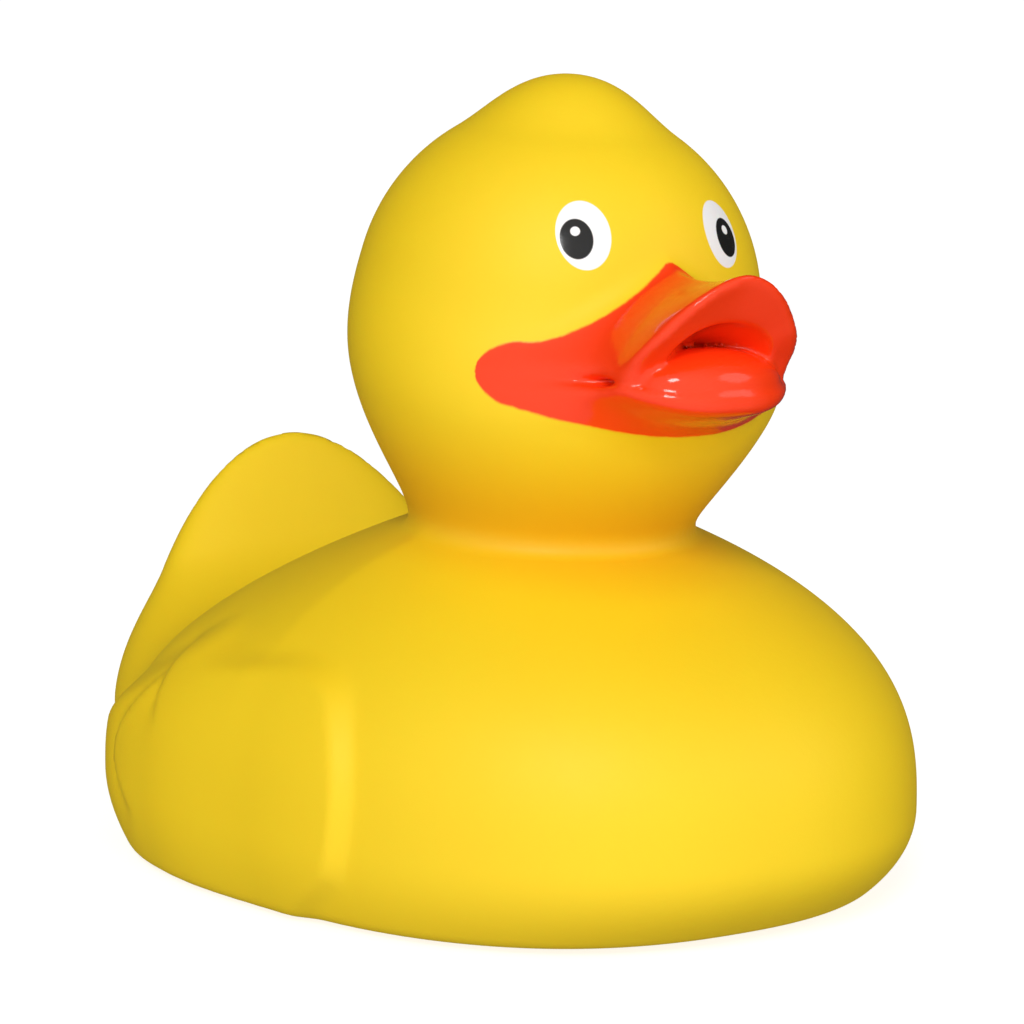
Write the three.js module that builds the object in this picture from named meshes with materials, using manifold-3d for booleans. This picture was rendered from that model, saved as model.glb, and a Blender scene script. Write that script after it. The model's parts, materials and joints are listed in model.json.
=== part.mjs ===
// Rubber duck: one hollow moulding of soft vinyl with a small squeaker pressed into its flat base.
//
// Millimetres, +Z up, the duck looks along -Y. The origin is on the ground, under the middle of the duck.
// The trunk and the head are spheres whose points run out from a spine onto a skin given by a formula.
// A formula says about how far a point is outside the form, and is negative inside it. The bill is lofted
// from the cheeks to the lip. The forms are joined, the hollow and the base hole are cut out, and the
// squeaker is turned.

import * as THREE from 'three';
import { mergeVertices } from 'three/addons/utils/BufferGeometryUtils.js';
import Module from 'manifold-3d';

const wasm = await Module();
wasm.setup();

// ---------------------------------------------------------------- driving dimensions

const WALL = 2.2;                 // thickness of the moulded skin

const BODY = {
  y: 4.616,                       // where the plan is widest
  halfWidth: 36.878,
  front: 55.881,                  // from the widest section to the breast
  back: 27.705,                   // from the widest section to the rear wall
  rearBlend: 30,                  // the front half turns into the rear half over this length
  widestAt: 8.974,                // height of the widest outline
  crown: 40.081,                  // height of the back, under the neck
  backFall: 0.229,                 // how fast the back falls towards the tail
  baseSide: 0.957,                // outline at the ground, as a share of the widest: at the flanks,
  baseFront: 0.908,               // at the breast
  baseBack: 0.882,                // and at the rear
  baseRound: 1.5,                 // rounding of the edge it rests on
  planPower: 2.273,
  planPowerBack: 2.485,
  crownPower: 1.266,
  crownTilt: -0.067,              // the breast is fuller than the back
  tiltReach: 20,
  sidePower: 2.683,
  steepness: 0.6,                 // turns the formula's shares into about millimetres
};

const HEAD = { y: -12.515, z: 57.521, radius: 20.214 };

const NECK = {
  y: -11.228,
  z: 37.223,                      // where the neck meets the back
  radius: 13.86,
  tilt: 0.149,                    // the seam sits higher at the rear
  flare: 0.482,                   // widens towards the cheeks
  flareHeight: 12.5,
  easeFoot: 2,                    // how gently the flare starts and ends
  easeTop: 4.9,
  lean: 0.364,                    // and leans forward
  halfHeight: 14,
  rise: 2,
  endRound: 6,
  blend: 9.161,
};

const CREST = { y: -13.814, z: 71.425, width: 9.4, length: 9.72, height: 8.67, blend: 2 };

const TAIL = {
  root: [38.85, 11.55],           // [y, z] on the middle plane
  tip: [48.62, 39.50],
  halfWidth: 24.037,
  sidePower: 1.939,
  tipPower: 1.237,
  rootFall: 1.2,
  halfThicknessRoot: 12.328,
  halfThicknessTip: 2.804,
  roundPower: 2.2,
  steepness: 0.9,
  sag: 1.012,                      // the front of the fan is dished
  blend: 12,
};

const BILL = {
  seam: -5.8,                     // height of the mouth line over the head's middle
  from: 11.7,                     // where the bill starts, forward of the head's middle
  lipFront: 33.5,
  lipHalf: 9.4,                   // half width of the lip
  lipSweep: 3.1,                  // how far back the lip runs, this far from the middle plane
  sweepAt: 8,
  sweepPower: 2.6,
  sweepFrom: 22,
  sweepOver: 8,
  saddle: 8.9,                    // height of the upper bill over the mouth line at its lowest
  saddleAt: 26.5,
  lipLift: 1.1,                   // how much higher the lip and the brow end are
  cheekSpread: 7.1,               // added to the half width by the cheeks
  cheekFrom: 25,
  cheekTo: 12.5,
  cheekPower: 1.4,
  cheekFullness: 1.3,             // corner fullness of the sections, which the lip adds to
  lipFullness: 0.4,
  fullnessFrom: 21,
  fullnessOver: 9,
  rimRound: 1.6,                  // length over which the rims grow thin
  rimBlunt: 0.35,
  rimLeast: 0.3,
  rimTuck: 0.08,                  // share of the width that goes with the thickness
  rimThickness: 0.9,
  seamDrop: 0.4,                  // the upper bill ends this far under the mouth line
};

const MOUTH = { from: 19, opensOver: 8, at: 30.2, half: 6.9, roof: 5.2, least: 0.6, floor: 1, fullness: 1.9 };

const CHIN = {
  front: 31.2,
  from: 14,                       // the underside rises towards the lip from here
  depth: 7,
  lip: 2.9,
  power: 1.2,
  inset: 0.9,                     // narrower than the upper lip by this much
  cheekFrom: 28.5,                // it narrows evenly from the cheeks to here
  cheekPower: 1.25,
  top: -0.9,
};

const TONGUE = { at: 26.3, height: -0.4, halfWidth: 7.6, length: 4.7, rise: 3.3 };

const WING = {
  rise: 0.75,
  topShare: 0.9,                  // share of the rise along the top edge
  top: 23.8,
  topSlope: 0.45,                 // how fast the top edge falls behind the peak
  peakY: 0.9,
  peakRise: 1.2,
  peakWidth: 3,
  frontY: -27.8,
  frontCurve: 6,
  midZ: 12,
  halfHeight: 13,
  rearY: 24.9,
  edge: 1.6,                        // half width of the soft edge
  inner: 12,                      // the pad starts this far from the middle plane
  innerFade: 6,
  topFade: 12,
};

const HOLE = { radius: 7, y: -3, seatRadius: 8.5, seatDepth: 0.9 };
const GAP = 0.3;                  // clearance between pieces that touch

// ---------------------------------------------------------------- formula helpers

const clamp = THREE.MathUtils.clamp;

// The lower of two distances, with the inside corner rounded over a width k.
function blendMin(a, b, k) {
  const h = clamp(0.5 + (0.5 * (b - a)) / k, 0, 1);
  return b * (1 - h) + a * h - k * h * (1 - h);
}

function blendMax(a, b, k) {
  return -blendMin(-a, -b, k);
}

function ellipsoid(x, y, z, a, b, c) {
  const scale = Math.hypot(x / a, y / b, z / c) + 1e-9;
  const slope = Math.hypot(x / (a * a), y / (b * b), z / (c * c)) + 1e-9;
  return (scale * (scale - 1)) / slope;
}

function smooth(t) {
  const s = clamp(t, 0, 1);
  return s * s * (3 - 2 * s);
}

// ---------------------------------------------------------------- the duck's forms

// How far the wing pad stands off the flank, from its side view.
function wingRise(x, y, z) {
  const front = y - WING.frontY - WING.frontCurve * ((z - WING.midZ) / WING.halfHeight) ** 2;
  const peak = WING.peakRise * Math.exp(-(((y - WING.peakY) / WING.peakWidth) ** 2));
  const top = WING.top + peak - WING.topSlope * Math.max(0, y - WING.peakY) - z;
  const inside = Math.min(front, top, WING.rearY - y);
  const side = smooth((Math.abs(x) - WING.inner) / WING.innerFade);
  const fuller = WING.topShare + (1 - WING.topShare) * smooth((WING.top - z) / WING.topFade);
  return WING.rise * fuller * side * smooth(0.5 + inside / (2 * WING.edge));
}

function bodyForm(x, y, z) {
  const crown = BODY.crown - BODY.backFall * Math.max(0, y - NECK.y);
  const up = Math.max(0, (z - BODY.widestAt) / (crown - BODY.widestAt));
  const down = Math.max(0, (BODY.widestAt - z) / BODY.widestAt);
  const back = y - BODY.y;
  const length = back < 0 ? BODY.front : BODY.back;
  const rear = smooth(0.5 + back / BODY.rearBlend);
  const n = THREE.MathUtils.lerp(BODY.planPower, BODY.planPowerBack, rear);
  const plan = (Math.abs(x / BODY.halfWidth) ** n + Math.abs(back / length) ** n + 1e-12) ** (1 / n);
  const m = BODY.crownPower + (BODY.crownTilt * back) / Math.hypot(x, back, BODY.tiltReach);
  const egg = (plan ** m + up ** BODY.sidePower) ** (2 / (m + BODY.sidePower));
  const endwise = (back / length) ** 2;
  const baseEnd = THREE.MathUtils.lerp(BODY.baseFront, BODY.baseBack, rear);
  const sidewise = (x / BODY.halfWidth) ** 2;
  const base = THREE.MathUtils.lerp(BODY.baseSide, baseEnd, endwise / (endwise + sidewise + 1e-3));
  const tuck = (1 - base) * down ** 2;
  return (egg + tuck - 1) * BODY.steepness * BODY.halfWidth - wingRise(x, y, z);
}

function tailForm(x, y, z) {
  const dy = TAIL.tip[0] - TAIL.root[0];
  const dz = TAIL.tip[1] - TAIL.root[1];
  const length = Math.hypot(dy, dz);
  const along = ((y - TAIL.root[0]) * dy + (z - TAIL.root[1]) * dz) / (length * length);
  const share = clamp(along, 0, 1);
  const dished = TAIL.sag * 4 * share * (1 - share);
  const across = ((y - TAIL.root[0]) * dz - (z - TAIL.root[1]) * dy) / length - dished;
  const half = THREE.MathUtils.lerp(TAIL.halfThicknessRoot, TAIL.halfThicknessTip, share);
  const sides = Math.abs(x / TAIL.halfWidth) ** TAIL.sidePower;
  const ends = Math.max(0, along) ** TAIL.tipPower + Math.max(0, -TAIL.rootFall * along) ** 2;
  const fan = (sides + ends) ** (2 / (TAIL.sidePower + TAIL.tipPower));
  const n = TAIL.roundPower;
  const rounded = (fan ** n + Math.abs(across / half) ** n) ** (1 / n);
  return (rounded - 1) * half * TAIL.steepness;
}

function headForm(x, y, z) {
  const ball = Math.hypot(x, y - HEAD.y, z - HEAD.z) - HEAD.radius;
  const over = z - NECK.z - NECK.tilt * (y - NECK.y);
  const rise = (over + Math.hypot(over, NECK.easeFoot)) / 2;
  const flare = (rise + NECK.flareHeight - Math.hypot(rise - NECK.flareHeight, NECK.easeTop)) / 2;
  const side = Math.hypot(x, y - NECK.y + NECK.lean * rise) - NECK.radius - NECK.flare * flare;
  const neck = blendMax(side, Math.abs(over - NECK.rise) - NECK.halfHeight, NECK.endRound);
  const crest = ellipsoid(x, y - CREST.y, z - CREST.z, CREST.width, CREST.length, CREST.height);
  return blendMin(blendMin(ball, neck, NECK.blend), crest, CREST.blend);
}

// Body and tail grow into each other; the underside is cut flat afterwards, a little above the form's own.
function trunkForm(x, y, z) {
  const trunk = blendMin(bodyForm(x, y, z), tailForm(x, y, z), TAIL.blend);
  return blendMax(trunk, -z - BODY.baseRound / 5, BODY.baseRound);
}

// Half width of the bill, a distance forward of the head's middle.
function billHalfWidth(forward, cheekFrom, cheekPower) {
  const cheek = clamp((cheekFrom - forward) / (cheekFrom - BILL.cheekTo), 0, 1.25);
  return BILL.lipHalf + BILL.cheekSpread * cheek ** cheekPower;
}

// How far the lips run back at a distance from the middle plane.
function sweepBack(x, forward) {
  const full = BILL.lipSweep * (Math.abs(x) / BILL.sweepAt) ** BILL.sweepPower;
  return full * smooth((forward - BILL.sweepFrom) / BILL.sweepOver);
}

// How much of its full thickness a rim still has, a distance behind its front.
function rimShare(behind) {
  return Math.sqrt(clamp((behind + BILL.rimBlunt) / BILL.rimRound, BILL.rimLeast, 1));
}

// Stations lie closer together near the lip.
function easeEnds(t) {
  return 1 - (1 - t) ** 1.5;
}

// Points round a superellipse: [x, z] at a turn, with the corner fullness p.
function roundPoint(turn, halfWidth, height, p) {
  const c = Math.cos(turn);
  const s = Math.sin(turn);
  return [halfWidth * Math.sign(c) * Math.abs(c) ** (2 / p), height * Math.sign(s) * Math.abs(s) ** (2 / p)];
}

function upperBillSection(turn, forward) {
  const lift = clamp((forward - BILL.saddleAt) / (BILL.lipFront - BILL.saddleAt), -1.5, 1);
  const height = BILL.saddle + BILL.lipLift * lift ** 2;
  const p = BILL.cheekFullness + BILL.lipFullness * smooth((forward - BILL.fullnessFrom) / BILL.fullnessOver);
  const rim = rimShare(BILL.lipFront - forward);
  const width = billHalfWidth(forward, BILL.cheekFrom, BILL.cheekPower);
  const half = width * (1 - BILL.rimTuck + BILL.rimTuck * rim);
  if (turn >= 0) return roundPoint(turn, half, height - 1 + rim, p);
  return roundPoint(turn, half, BILL.seamDrop, 4);
}

// The mouth flares towards the lip, which leaves the lip's underside facing forward.
function mouthSection(turn, forward) {
  const opening = smooth((forward - MOUTH.from) / MOUTH.opensOver);
  const flare = clamp((forward - MOUTH.at) / (BILL.lipFront - MOUTH.at), 0, 1.3);
  const rimRoof = BILL.saddle + BILL.lipLift - BILL.rimThickness;
  const rimHalf = BILL.lipHalf - BILL.rimThickness;
  const roof = THREE.MathUtils.lerp(MOUTH.roof * opening, rimRoof, flare);
  const half = THREE.MathUtils.lerp(MOUTH.half * opening, rimHalf, flare);
  if (turn >= 0) return roundPoint(turn, half, Math.max(roof, MOUTH.least), MOUTH.fullness);
  return roundPoint(turn, half, MOUTH.floor, 2);
}

function lowerBillSection(turn, forward) {
  const nose = clamp((forward - CHIN.from) / (CHIN.front - CHIN.from), 0, 1);
  const rim = rimShare(CHIN.front - forward);
  const depth = (CHIN.depth - (CHIN.depth - CHIN.lip) * nose ** CHIN.power) * rim;
  const width = billHalfWidth(forward, CHIN.cheekFrom, CHIN.cheekPower) - CHIN.inset;
  const half = width * (1 - BILL.rimTuck + BILL.rimTuck * rim);
  const [x, z] = roundPoint(turn, half, 1, 2 + 0.6 * nose);
  if (z < 0) return [x, CHIN.top + (depth + CHIN.top) * z];
  const past = Math.max(0, forward - TONGUE.at) / TONGUE.length;
  const dome = 1 - (x / TONGUE.halfWidth) ** 2 - past ** 2;
  const tongue = TONGUE.height + TONGUE.rise * Math.sqrt(Math.max(0, dome));
  return [x, THREE.MathUtils.lerp(CHIN.top, Math.max(CHIN.top + 0.1, tongue), z)];
}

// ---------------------------------------------------------------- solids

function toSolid(geometry) {
  const bare = geometry.clone();
  bare.deleteAttribute('normal');
  bare.deleteAttribute('uv');
  const merged = mergeVertices(bare, 1e-4);
  const vertProperties = new Float32Array(merged.attributes.position.array);
  const triVerts = new Uint32Array(merged.index.array);
  return new wasm.Manifold(new wasm.Mesh({ numProp: 3, vertProperties, triVerts }));
}

function toGeometry(solid) {
  const mesh = solid.getMesh();
  const geometry = new THREE.BufferGeometry();
  geometry.setAttribute('position', new THREE.BufferAttribute(new Float32Array(mesh.vertProperties), 3));
  geometry.setIndex(new THREE.BufferAttribute(new Uint32Array(mesh.triVerts), 1));
  geometry.computeVertexNormals();
  return geometry;
}

// A sphere whose points run out from a short spine on the middle plane until they meet the form's skin.
// The spine lies along Y, so that rings of points stay evenly spread on a long form.
function skinned(form, spine, reach, around, rings) {
  const sphere = new THREE.SphereGeometry(1, around, rings);
  const position = sphere.attributes.position;
  const way = new THREE.Vector3();
  for (let i = 0; i < position.count; i += 1) {
    way.fromBufferAttribute(position, i);
    const y = clamp(spine.y + spine.stretch * way.y, spine.from, spine.to);
    let inside = 0;
    let outside = reach;
    for (let step = 0; step < 30; step += 1) {
      const half = (inside + outside) / 2;
      if (form(way.x * half, y + way.y * half, spine.z + way.z * half) < 0) inside = half;
      else outside = half;
    }
    position.setXYZ(i, way.x * inside, y + way.y * inside, spine.z + way.z * inside);
  }
  return toSolid(sphere);
}

// A capped cylinder whose rings become cross-sections of the bill, from the cheeks to the lip.
// section(turn, forward) gives [x, height over the mouth line] for an angle around the ring.
function lofted(section, from, to, around, stations) {
  const cylinder = new THREE.CylinderGeometry(1, 1, 1, around, stations);
  const position = cylinder.attributes.position;
  for (let i = 0; i < position.count; i += 1) {
    const radius = Math.hypot(position.getX(i), position.getZ(i));
    const turn = Math.atan2(position.getZ(i), position.getX(i));
    const forward = THREE.MathUtils.lerp(from, to, easeEnds(0.5 - position.getY(i)));
    const [x, over] = section(turn, forward);
    const middle = section(Math.PI / 2, forward)[1] / 2 + section(-Math.PI / 2, forward)[1] / 2;
    const height = middle + (over - middle) * radius;
    const place = forward - sweepBack(x * radius, forward);
    position.setXYZ(i, x * radius, HEAD.y - place, HEAD.z + BILL.seam + height);
  }
  return toSolid(cylinder);
}

function block(width, depth, height, x, y, z) {
  return toSolid(new THREE.BoxGeometry(width, depth, height).translate(x, y, z));
}

function plug(radius, from, to) {
  const cylinder = new THREE.CylinderGeometry(radius, radius, to - from, 40);
  cylinder.rotateX(Math.PI / 2).translate(0, HOLE.y, (from + to) / 2);
  return toSolid(cylinder);
}

function turned(profile, segments) {
  const points = profile.map(([r, z]) => new THREE.Vector2(r, z));
  return new THREE.LatheGeometry(points, segments).rotateX(Math.PI / 2).translate(0, HOLE.y, 0);
}

// ---------------------------------------------------------------- duck shell

function duckShell() {
  const trunkSpine = { y: -3, stretch: 60, from: -32, to: 30, z: 12 };
  const headSpine = { y: HEAD.y, stretch: 0, from: HEAD.y, to: HEAD.y, z: HEAD.z - 6 };
  const trunk = skinned(trunkForm, trunkSpine, 60, 52, 44);
  const head = skinned(headForm, headSpine, 60, 36, 26);
  const upper = lofted(upperBillSection, BILL.from, BILL.lipFront, 32, 16);
  const mouth = lofted(mouthSection, MOUTH.from, BILL.lipFront + 1, 28, 14);
  const lower = lofted(lowerBillSection, BILL.from, CHIN.front, 32, 16);
  const ground = block(200, 200, 100, 0, 0, 50);
  const outside = trunk.add(head).add(upper).subtract(mouth).add(lower).intersect(ground);

  const innerTrunk = (x, y, z) => Math.max(bodyForm(x, y, z) + WALL, WALL - z);
  const innerHead = (x, y, z) => headForm(x, y, z) + WALL;
  const hollow = skinned(innerTrunk, trunkSpine, 60, 32, 24).add(skinned(innerHead, headSpine, 60, 24, 18));

  const hole = plug(HOLE.radius, -1, WALL + 2).add(plug(HOLE.seatRadius, -1, HOLE.seatDepth));
  return toGeometry(outside.subtract(hollow).subtract(hole));
}

// ---------------------------------------------------------------- squeaker

const PLUG = {
  radius: HOLE.radius - GAP,
  flangeRadius: HOLE.seatRadius - GAP,
  flange: HOLE.seatDepth - GAP,
  floor: 1.8,
  height: 9,
  bore: 4.6,
  airHole: 1.4,
  beadRadius: 7.9,
};

// The pressed-in cup: a flange in its seat, a groove for the skin, a bead that holds it, and an air hole.
function squeakerPlug() {
  const grip = WALL + GAP;
  return turned([
    [PLUG.airHole, 0],
    [PLUG.flangeRadius, 0],
    [PLUG.flangeRadius, PLUG.flange],
    [PLUG.radius, PLUG.flange],
    [PLUG.radius, grip],
    [PLUG.beadRadius, grip],
    [PLUG.beadRadius - 0.6, grip + 1.4],
    [PLUG.radius - 0.4, grip + 1.8],
    [PLUG.radius - 0.4, PLUG.height],
    [PLUG.bore, PLUG.height],
    [PLUG.bore, PLUG.floor],
    [PLUG.airHole, PLUG.floor],
    [PLUG.airHole, 0],
  ], 40);
}

// The reed: a thick washer in the cup, with the slot that its thin tongue covers.
function squeakerReed() {
  const from = PLUG.floor + GAP;
  const radius = PLUG.bore - GAP;
  const disc = new THREE.CylinderGeometry(radius, radius, 2.4, 32);
  disc.rotateX(Math.PI / 2).translate(0, HOLE.y, from + 1.2);
  const slot = block(1.4, 5, 4, 0, HOLE.y, from + 1.4);
  const tongue = block(1.8, 6, 0.4, 0, HOLE.y, from + 2.4);
  return toGeometry(toSolid(disc).subtract(slot).add(tongue));
}

// ---------------------------------------------------------------- scene graph

function piece(name, geometry, colour, roughness) {
  const material = new THREE.MeshStandardMaterial({ color: colour, roughness, metalness: 0 });
  const mesh = new THREE.Mesh(geometry, material);
  mesh.name = name;
  return mesh;
}

const duck = new THREE.Group();
duck.add(piece('duck_shell', duckShell(), '#f6d62c', 0.45));
duck.add(piece('squeaker_plug', squeakerPlug(), '#f2f0ea', 0.35));
duck.add(piece('squeaker_reed', squeakerReed(), '#e8e4da', 0.35));

export default duck;
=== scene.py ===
"""Rubber duck: a bath duck of soft yellow vinyl with a painted bill and painted eyes.

The skin is grown from rounded forms: a trunk, a fan tail, wings in low relief, a ball head with a tuft
and a broad bill. Each form is a formula that says about how many millimetres a point lies outside it.
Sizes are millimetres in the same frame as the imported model, and metres only where a mesh is made.
"""

import json
import logging
import math
from dataclasses import dataclass, field
from enum import Enum
from functools import cached_property

import bpy
import numpy as np
from mathutils import Matrix, Vector
from mathutils.geometry import interpolate_bezier

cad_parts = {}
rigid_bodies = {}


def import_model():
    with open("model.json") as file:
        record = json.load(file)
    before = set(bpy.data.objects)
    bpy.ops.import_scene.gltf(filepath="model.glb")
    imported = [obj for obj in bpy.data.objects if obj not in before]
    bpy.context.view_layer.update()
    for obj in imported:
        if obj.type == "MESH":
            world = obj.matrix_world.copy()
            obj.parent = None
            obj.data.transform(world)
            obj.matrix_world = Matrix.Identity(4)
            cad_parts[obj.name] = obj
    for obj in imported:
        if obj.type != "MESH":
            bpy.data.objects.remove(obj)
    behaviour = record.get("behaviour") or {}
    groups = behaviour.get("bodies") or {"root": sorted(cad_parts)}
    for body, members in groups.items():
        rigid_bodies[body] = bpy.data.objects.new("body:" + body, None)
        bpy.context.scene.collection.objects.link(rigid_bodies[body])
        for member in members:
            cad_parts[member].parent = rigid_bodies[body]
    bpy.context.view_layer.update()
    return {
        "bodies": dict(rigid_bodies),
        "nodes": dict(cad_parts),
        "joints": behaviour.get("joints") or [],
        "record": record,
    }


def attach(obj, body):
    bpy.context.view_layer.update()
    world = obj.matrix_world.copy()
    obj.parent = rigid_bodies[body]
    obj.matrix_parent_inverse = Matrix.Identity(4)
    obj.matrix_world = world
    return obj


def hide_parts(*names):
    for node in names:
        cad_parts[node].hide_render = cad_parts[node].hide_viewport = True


MM = 0.001
FAR = 1e9
TINY = 1e-9
Array = np.ndarray
LOG = logging.getLogger("rubber_duck")


# ---------------------------------------------------------------- shaping helpers


def blend_min(a: Array, b: Array, width: float) -> Array:
    """Join two forms, with the inside corner between them rounded.

    Args:
        a: Distance to the first form.
        b: Distance to the second form.
        width: How far from the corner the rounding starts.

    Returns:
        Distance to the joined form.
    """
    share = np.clip(0.5 + 0.5 * (b - a) / width, 0.0, 1.0)
    return b * (1.0 - share) + a * share - width * share * (1.0 - share)


def blend_max(a: Array, b: Array, width: float) -> Array:
    """Keep what two forms have in common, with the outside edge rounded.

    Args:
        a: Distance to the first form.
        b: Distance to the second form.
        width: How far from the edge the rounding starts.

    Returns:
        Distance to the common form.
    """
    return -blend_min(-a, -b, width)


def ease(t: Array) -> Array:
    """Rise smoothly from 0 to 1 as t goes from 0 to 1."""
    s = np.clip(t, 0.0, 1.0)
    return s * s * (3.0 - 2.0 * s)


def ellipsoid(x: Array, y: Array, z: Array, radii: tuple[float, float, float]) -> Array:
    """Measure how far points lie outside an ellipsoid at the origin.

    Args:
        x: Left.
        y: Back.
        z: Up.
        radii: Half lengths along x, y and z.

    Returns:
        Approximate distance.
    """
    a, b, c = radii
    scale = np.sqrt((x / a) ** 2 + (y / b) ** 2 + (z / c) ** 2 + TINY)
    slope = np.sqrt((x / a**2) ** 2 + (y / b**2) ** 2 + (z / c**2) ** 2 + TINY)
    return scale * (scale - 1.0) / slope


# ---------------------------------------------------------------- forms of the duck


@dataclass(frozen=True)
class Wing:
    """A wing in low relief on the flank: a soft pad with two feather creases near its rear edge.

    The outline and the creases are seen from the side as (y, z) points. The outline is a smooth curve drawn
    by its corners, of which the first and the last are under the floor. Each crease is a curve with two ends
    and two handles that runs from top to bottom, and the skin behind it drops a little and rises again.
    """

    rise_front: float = 0.36
    rise_rear: float = 0.8
    top_share: float = 1.15
    edge_front: float = 0.95
    edge_rear: float = 2.2
    crease_drop: float = 0.26
    crease_fade: float = 3.0
    front_from: float = -16.0
    front_over: float = 18.0
    edge_change_at: float = 1.0
    edge_change_over: float = 12.0
    top_at: float = 24.0
    top_over: float = 12.0
    crease_edge: float = 0.9
    crease_ends: tuple[float, float] = (3.0, 5.0)
    inner: float = 10.0
    inner_fade: float = 8.0
    grid: float = 0.25
    grid_y: tuple[float, float] = (-34.0, 34.0)
    grid_z: tuple[float, float] = (-8.0, 32.0)
    outline: tuple[tuple[float, float], ...] = (
        (-17.0, -0.5), (-24.0, 4.0), (-27.5, 7.0), (-28.0, 17.0), (-21.5, 25.5), (-5.5, 23.0),
        (1.5, 25.5), (7.0, 20.5), (20.5, 15.5), (25.0, 10.5), (24.5, 0.5), (12.5, -26.0),
    )
    creases: tuple[tuple[tuple[float, float], ...], ...] = (
        ((2.0, 23.5), (3.0, 21.0), (3.5, 19.0), (0.5, 15.5)),
        ((2.5, 22.5), (7.0, 17.0), (18.5, 12.0), (5.0, 6.0)),
    )

    def rounded(self) -> Array:
        """Round the outline by cutting its corners off three times.

        Returns:
            Points of the rounded outline.
        """
        points = np.array(self.outline)
        for _ in range(3):
            ends = np.roll(points, -1, axis=0)
            pairs = [0.75 * points + 0.25 * ends, 0.25 * points + 0.75 * ends]
            points = np.stack(pairs, axis=1).reshape(-1, 2)
        return points

    def crease(self, gy: Array, gz: Array, line: tuple[tuple[float, float], ...]) -> Array:
        """Work out how far the skin drops behind one crease.

        Args:
            gy: Places along y.
            gz: Places along z.
            line: Ends and handles of the crease from top to bottom.

        Returns:
            Share of the full drop at each place.
        """
        points = [tuple(p) for p in interpolate_bezier(*(Vector(p) for p in line), 13)]
        nearest = np.full(gy.shape, FAR)
        behind = np.zeros(gy.shape)
        run = np.zeros(gy.shape)
        before = 0.0
        for (ay, az), (by, bz) in zip(points[:-1], points[1:]):
            dy, dz = by - ay, bz - az
            length = math.hypot(dy, dz)
            t = np.clip(((gy - ay) * dy + (gz - az) * dz) / length**2, 0.0, 1.0)
            away = np.hypot(gy - ay - t * dy, gz - az - t * dz)
            closer = away < nearest
            nearest = np.where(closer, away, nearest)
            behind = np.where(closer, np.sign(dy * (gz - az) - dz * (gy - ay)), behind)
            run = np.where(closer, before + t * length, run)
            before += length
        ends = ease(run / self.crease_ends[0]) * ease((before - run) / self.crease_ends[1])
        past = nearest * behind
        drop = ease(0.5 + past / self.crease_edge)
        return ends * drop * np.exp(-np.clip(past, 0.0, None) / self.crease_fade)

    @cached_property
    def pad(self) -> tuple[Array, Array, Array]:
        """Draw the wing once on a fine side-view grid.

        Returns:
            Lines along y, lines along z, and the rise at each crossing.
        """
        ys = np.arange(*self.grid_y, self.grid)
        zs = np.arange(*self.grid_z, self.grid)
        gy, gz = np.meshgrid(ys, zs, indexing="ij")
        points = self.rounded()
        nearest = np.full(gy.shape, FAR)
        inside = np.zeros(gy.shape, bool)
        for (ay, az), (by, bz) in zip(points, np.roll(points, -1, axis=0)):
            dy, dz = by - ay, bz - az
            t = np.clip(((gy - ay) * dy + (gz - az) * dz) / (dy * dy + dz * dz), 0.0, 1.0)
            nearest = np.minimum(nearest, np.hypot(gy - ay - t * dy, gz - az - t * dz))
            crosses = (az > gz) != (bz > gz)
            inside ^= crosses & (gy < (gz - az) * dy / (dz + TINY) + ay)
        forward = ease((self.edge_change_at - gy) / self.edge_change_over)
        edge = self.edge_rear + (self.edge_front - self.edge_rear) * forward
        rearward = ease((gy - self.front_from) / self.front_over)
        rise = self.rise_front + (self.rise_rear - self.rise_front) * rearward
        lower = ease((self.top_at - gz) / self.top_over)
        rise = rise * (self.top_share + (1.0 - self.top_share) * lower)
        lift = rise * ease(0.5 + np.where(inside, nearest, -nearest) / (2.0 * edge))
        for line in self.creases:
            lift = lift - self.crease_drop * self.crease(gy, gz, line)
        return ys, zs, lift

    def lift(self, x: Array, y: Array, z: Array) -> Array:
        """Work out how far the pad stands off the flank.

        Args:
            x: Left.
            y: Back.
            z: Up.

        Returns:
            Height of the relief at each point.
        """
        ys, zs, pad = self.pad
        fy = np.clip((y - ys[0]) / self.grid, 0, len(ys) - 1.001)
        fz = np.clip((z - zs[0]) / self.grid, 0, len(zs) - 1.001)
        iy, iz = fy.astype(int), fz.astype(int)
        ty, tz = fy - iy, fz - iz
        value = (
            pad[iy, iz] * (1 - ty) * (1 - tz)
            + pad[iy + 1, iz] * ty * (1 - tz)
            + pad[iy, iz + 1] * (1 - ty) * tz
            + pad[iy + 1, iz + 1] * ty * tz
        )
        return value * ease((np.abs(x) - self.inner) / self.inner_fade)


@dataclass(frozen=True)
class Neck:
    """The waist between the body and the head."""

    y: float = -11.228
    z: float = 37.223
    radius: float = 13.86
    tilt: float = 0.149
    flare: float = 0.482
    lean: float = 0.364
    flare_to: float = 12.5
    ease_foot: float = 2.0
    ease_top: float = 4.9
    half_height: float = 14.0
    rise: float = 2.0
    end_round: float = 6.0

    def over(self, y: Array, z: Array) -> Array:
        """Height over the tilted seam between the neck and the back."""
        return z - self.z - self.tilt * (y - self.y)

    def form(self, x: Array, y: Array, z: Array) -> Array:
        """Measure how far points lie outside the neck.

        Args:
            x: Left.
            y: Back.
            z: Up.

        Returns:
            Approximate distance.
        """
        over = self.over(y, z)
        rise = 0.5 * (over + np.hypot(over, self.ease_foot))
        flare = 0.5 * (rise + self.flare_to - np.hypot(rise - self.flare_to, self.ease_top))
        axis = self.y - self.lean * rise
        side = np.hypot(x, y - axis) - self.radius - self.flare * flare
        return blend_max(side, np.abs(over - self.rise) - self.half_height, self.end_round)


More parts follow.
